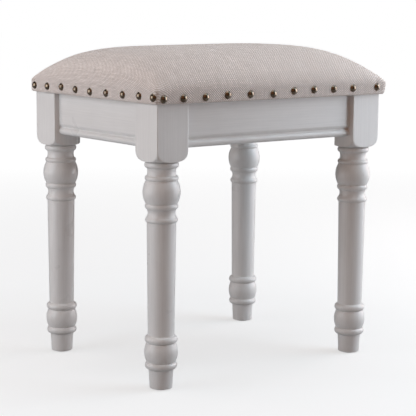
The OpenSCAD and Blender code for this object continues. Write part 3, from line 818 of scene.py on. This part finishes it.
points, faces, threads, opening = cover_grid()
fill_right_end(points)
held_points, pinned = hold_at_nails(points)
cover = mesh_object("linen_seat_cover", swell(held_points, faces + [tuple(opening)], pinned), faces, 180)
layer = cover.data.uv_layers.new(name="threads")
loops = np.zeros(len(cover.data.loops), dtype=np.int32)
cover.data.loops.foreach_get("vertex_index", loops)
layer.uv.foreach_set("vector", np.array(threads, dtype=np.float32)[loops].ravel())
smoother = cover.modifiers.new("finer", "SUBSURF")
smoother.levels = smoother.render_levels = 1
body = cover.modifiers.new("thickness", "SOLIDIFY")
body.thickness, body.offset = CLOTH_THICKNESS, -1
cover.data.materials.append(linen("unbleached linen", WARP, WEFT, GAP_SHADE, YARN_PITCH))
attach(cover, "root")
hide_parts("linen_cover")


# ---- Nailhead trim ----
# Domed nails of pressed brass, darkened in patches to an antique bronze and lacquered, are driven
# by hand through the cover into the edge of the board, so each head sits at its own tilt.

NAIL_RADIUS, NAIL_HEIGHT, NAIL_LIP, NAIL_SKIRT = 5.7 * MM, 3.8 * MM, 0.45 * MM, 0.3 * MM
NAIL_SINK = 0.6 * MM
HEAD_TILT = 0.025
HEAD_COLUMNS = 28
BRONZE = metal("antique bronze", (0.27, 0.20, 0.13, 1), (0.07, 0.045, 0.026, 1), 260.0, 0.13, 0.3, 0.8)


def nail_head(place, outward, tilt):
    """Points and faces of one domed head, its lip on the cloth. tilt is in radians, about X and Y."""
    curve = (NAIL_RADIUS ** 2 + NAIL_HEIGHT ** 2) / (2 * NAIL_HEIGHT)
    edge = math.degrees(math.asin((NAIL_HEIGHT - curve) / curve))
    profile = [(NAIL_RADIUS - NAIL_LIP, -NAIL_SKIRT), (NAIL_RADIUS, 0)]
    profile += [(r, z + NAIL_LIP / 3) for r, z in arc(0, NAIL_HEIGHT - curve, curve, edge + 2, 86, 12)]
    turn = outward.to_track_quat("Z", "Y").to_matrix()
    turn = turn @ Matrix.Rotation(tilt[0], 3, "X") @ Matrix.Rotation(tilt[1], 3, "Y")
    round_head = [2 * math.pi * i / HEAD_COLUMNS for i in range(HEAD_COLUMNS)]
    points = [place + turn @ Vector((r * math.cos(angle), r * math.sin(angle), z))
              for r, z in profile for angle in round_head]
    return points, tube_faces(len(profile), HEAD_COLUMNS)


chance = np.random.default_rng(7)
for row in ("front", "rear", "left", "right"):
    driven = [nail_head(place - outward * NAIL_SINK, outward, chance.normal(0, HEAD_TILT, 2))
              for owner, place, outward in NAILS if owner == row]
    heads = mesh_object("domed_nails_" + row, *joined(driven), 60)
    heads.data.materials.append(BRONZE)
    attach(heads, "root")
    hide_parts("nails_" + row)


# ---- Dust cover and staples ----
# A sheet of black spunbonded cambric closes the seat from below. It is stretched over the
# turned-under linen and stapled round its edge, and it hangs a hair slack in the middle.

DUST_SLACK = 1.2 * MM
DUST_CUT = 33.7 * MM
DUST_COLUMNS, DUST_ROWS = 41, 31
CAMBRIC_DARK, CAMBRIC_LIGHT = (0.014, 0.014, 0.016, 1), (0.05, 0.05, 0.054, 1)


def dust_sheet(low, high, cut):
    """A thin closed sheet with its corners cut off, slack in the middle."""
    half = (high - low) / 2
    points = []
    for face_z in (high.z, low.z):
        for v in np.linspace(-1, 1, DUST_ROWS):
            for u in np.linspace(-1, 1, DUST_COLUMNS):
                x, y = u * half.x, v * half.y
                over = max(0, abs(x) + abs(y) - (half.x + half.y - cut))
                x -= math.copysign(over / 2, x)
                y -= math.copysign(over / 2, y)
                points.append((x, y, face_z - DUST_SLACK * (1 - u * u) * (1 - v * v)))
    return mesh_object("dust_cover_sheet", points, slab_faces(DUST_COLUMNS, DUST_ROWS), 40)


dust_low, dust_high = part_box("dust_cover")
dust = dust_sheet(dust_low, dust_high, DUST_CUT)
cambric, tree, shader = finish_material("black cambric", roughness=0.85, sheen_weight=0.15)
dots = put(tree, "TexVoronoi", object_place(tree), None, 900.0).outputs["Distance"]
tree.links.new(blend_colour(tree, dots, CAMBRIC_DARK, CAMBRIC_LIGHT), shader["Base Color"])
bump(tree, shader, dots, 0.5, 0.2 * MM)
dust.data.materials.append(cambric)
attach(dust, "root")
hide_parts("dust_cover")
for node in ("linen_staples", "dust_cover_staples"):
    finish_cad_node(node, ZINC)


# ---- Floor, lights and camera ----
# A pale studio floor that glows for the lens only, soft boxes at both sides and overhead, a warm
# bounce from behind the lens, and a long lens at the height of a low tripod.

WHITE = (1, 1, 1, 1)
FLOOR_HALF = 14.0
FLOOR_BASE = (0.35, 0.35, 0.35, 1)
# The floor's glow under the stool, and the distances between which it grows to full white
FLOOR_GLOW, GLOW_START, GLOW_END = 0.6, 0.4, 2.6
floor_corners = [(x * FLOOR_HALF, y * FLOOR_HALF, 0) for x, y in ((-1, -1), (1, -1), (1, 1), (-1, 1))]
floor = mesh_object("studio_floor", floor_corners, [(0, 1, 2, 3)])
pale, tree, shader = finish_material("pale floor", roughness=0.9, specular_ior_level=0.1)
away = put(tree, "VectorMath", object_place(tree), operation="LENGTH").outputs["Value"]
glow = remap(tree, away, GLOW_START, GLOW_END, FLOOR_GLOW, 1.0)
seen = put(tree, "LightPath").outputs["Is Camera Ray"]
shader["Base Color"].default_value = FLOOR_BASE
shader["Emission Color"].default_value = WHITE
tree.links.new(calc(tree, "MULTIPLY", glow, seen), shader["Emission Strength"])
floor.data.materials.append(pale)

CAMERA_PLACE = Vector((-1.2472, -1.6316, 0.5273))
CAMERA_HEADING, CAMERA_PITCH, CAMERA_ROLL = 37.45, -8.61, 0.49
LENS = 121.5
yaw, pitch, roll = (math.radians(a) for a in (CAMERA_HEADING, CAMERA_PITCH, CAMERA_ROLL))
forward = Vector((math.sin(yaw) * math.cos(pitch), math.cos(yaw) * math.cos(pitch), math.sin(pitch)))
right_hand = Vector((math.cos(yaw), -math.sin(yaw), 0))
upright = right_hand.cross(forward)
across = right_hand * math.cos(roll) + upright * math.sin(roll)
upward = upright * math.cos(roll) - right_hand * math.sin(roll)
lens = bpy.data.cameras.new("camera")
lens.lens, lens.sensor_width = LENS, 36
camera = bpy.data.objects.new("camera", lens)
turned = Matrix((across, upward, -forward)).transposed().to_4x4()
camera.matrix_world = Matrix.Translation(CAMERA_PLACE) @ turned
bpy.context.scene.collection.objects.link(camera)
bpy.context.scene.camera = camera
bpy.context.scene.view_settings.view_transform = "Standard"

LIGHT_CENTRE = Vector((0, 0, 0.25))
# The side boxes' distance, width and height
SIDE_BOX = (1.6, 1.0, 1.4)


def soft_light(name, turn, rise, distance, width, height, power, colour):
    """A soft box aimed at the stool. turn is its angle from the lens, positive to the right, in degrees."""
    turn, rise = math.radians(turn), math.radians(rise)
    level = Vector((-math.sin(yaw), -math.cos(yaw), 0)) * math.cos(turn) + right_hand * math.sin(turn)
    toward = level * math.cos(rise) + Vector((0, 0, math.sin(rise)))
    light = bpy.data.lights.new(name, "AREA")
    light.shape, light.size, light.size_y = "RECTANGLE", width, height
    light.energy, light.color = power, colour
    obj = bpy.data.objects.new(name, light)
    obj.location = LIGHT_CENTRE + toward * distance
    obj.rotation_euler = (-toward).to_track_quat("-Z", "Y").to_euler()
    obj.visible_camera = False
    bpy.context.scene.collection.objects.link(obj)


for name, turn, rise, power, colour in (("left key", -60, 12, 12.7, (0.83, 0.92, 1.0)),
                                        ("left rim", -90, 12, 5.9, (1.0, 0.86, 0.80)),
                                        ("right fill", 90, 12, 14.6, (0.87, 0.925, 1.0)),
                                        ("right rear", 120, 12, 13.2, (1.0, 0.87, 0.835)),
                                        ("right high", 90, 40, 6.3, (0.53, 0.83, 1.0))):
    soft_light(name, turn, rise, *SIDE_BOX, power, colour)
soft_light("overhead", 0, 90, 1.8, 1.6, 1.6, 17.0, (0.975, 0.98, 1.0))
soft_light("warm bounce", 0, 30, 2.2, 3.2, 2.4, 8.6, (1.0, 0.525, 0.285))

world = bpy.data.worlds.new("studio")
bpy.context.scene.world = world
world.use_nodes = True
room = world.node_tree
backdrop = room.nodes["Background"]
backdrop.inputs[0].default_value = WHITE
room.links.new(put(room, "LightPath").outputs["Is Camera Ray"], backdrop.inputs[1])
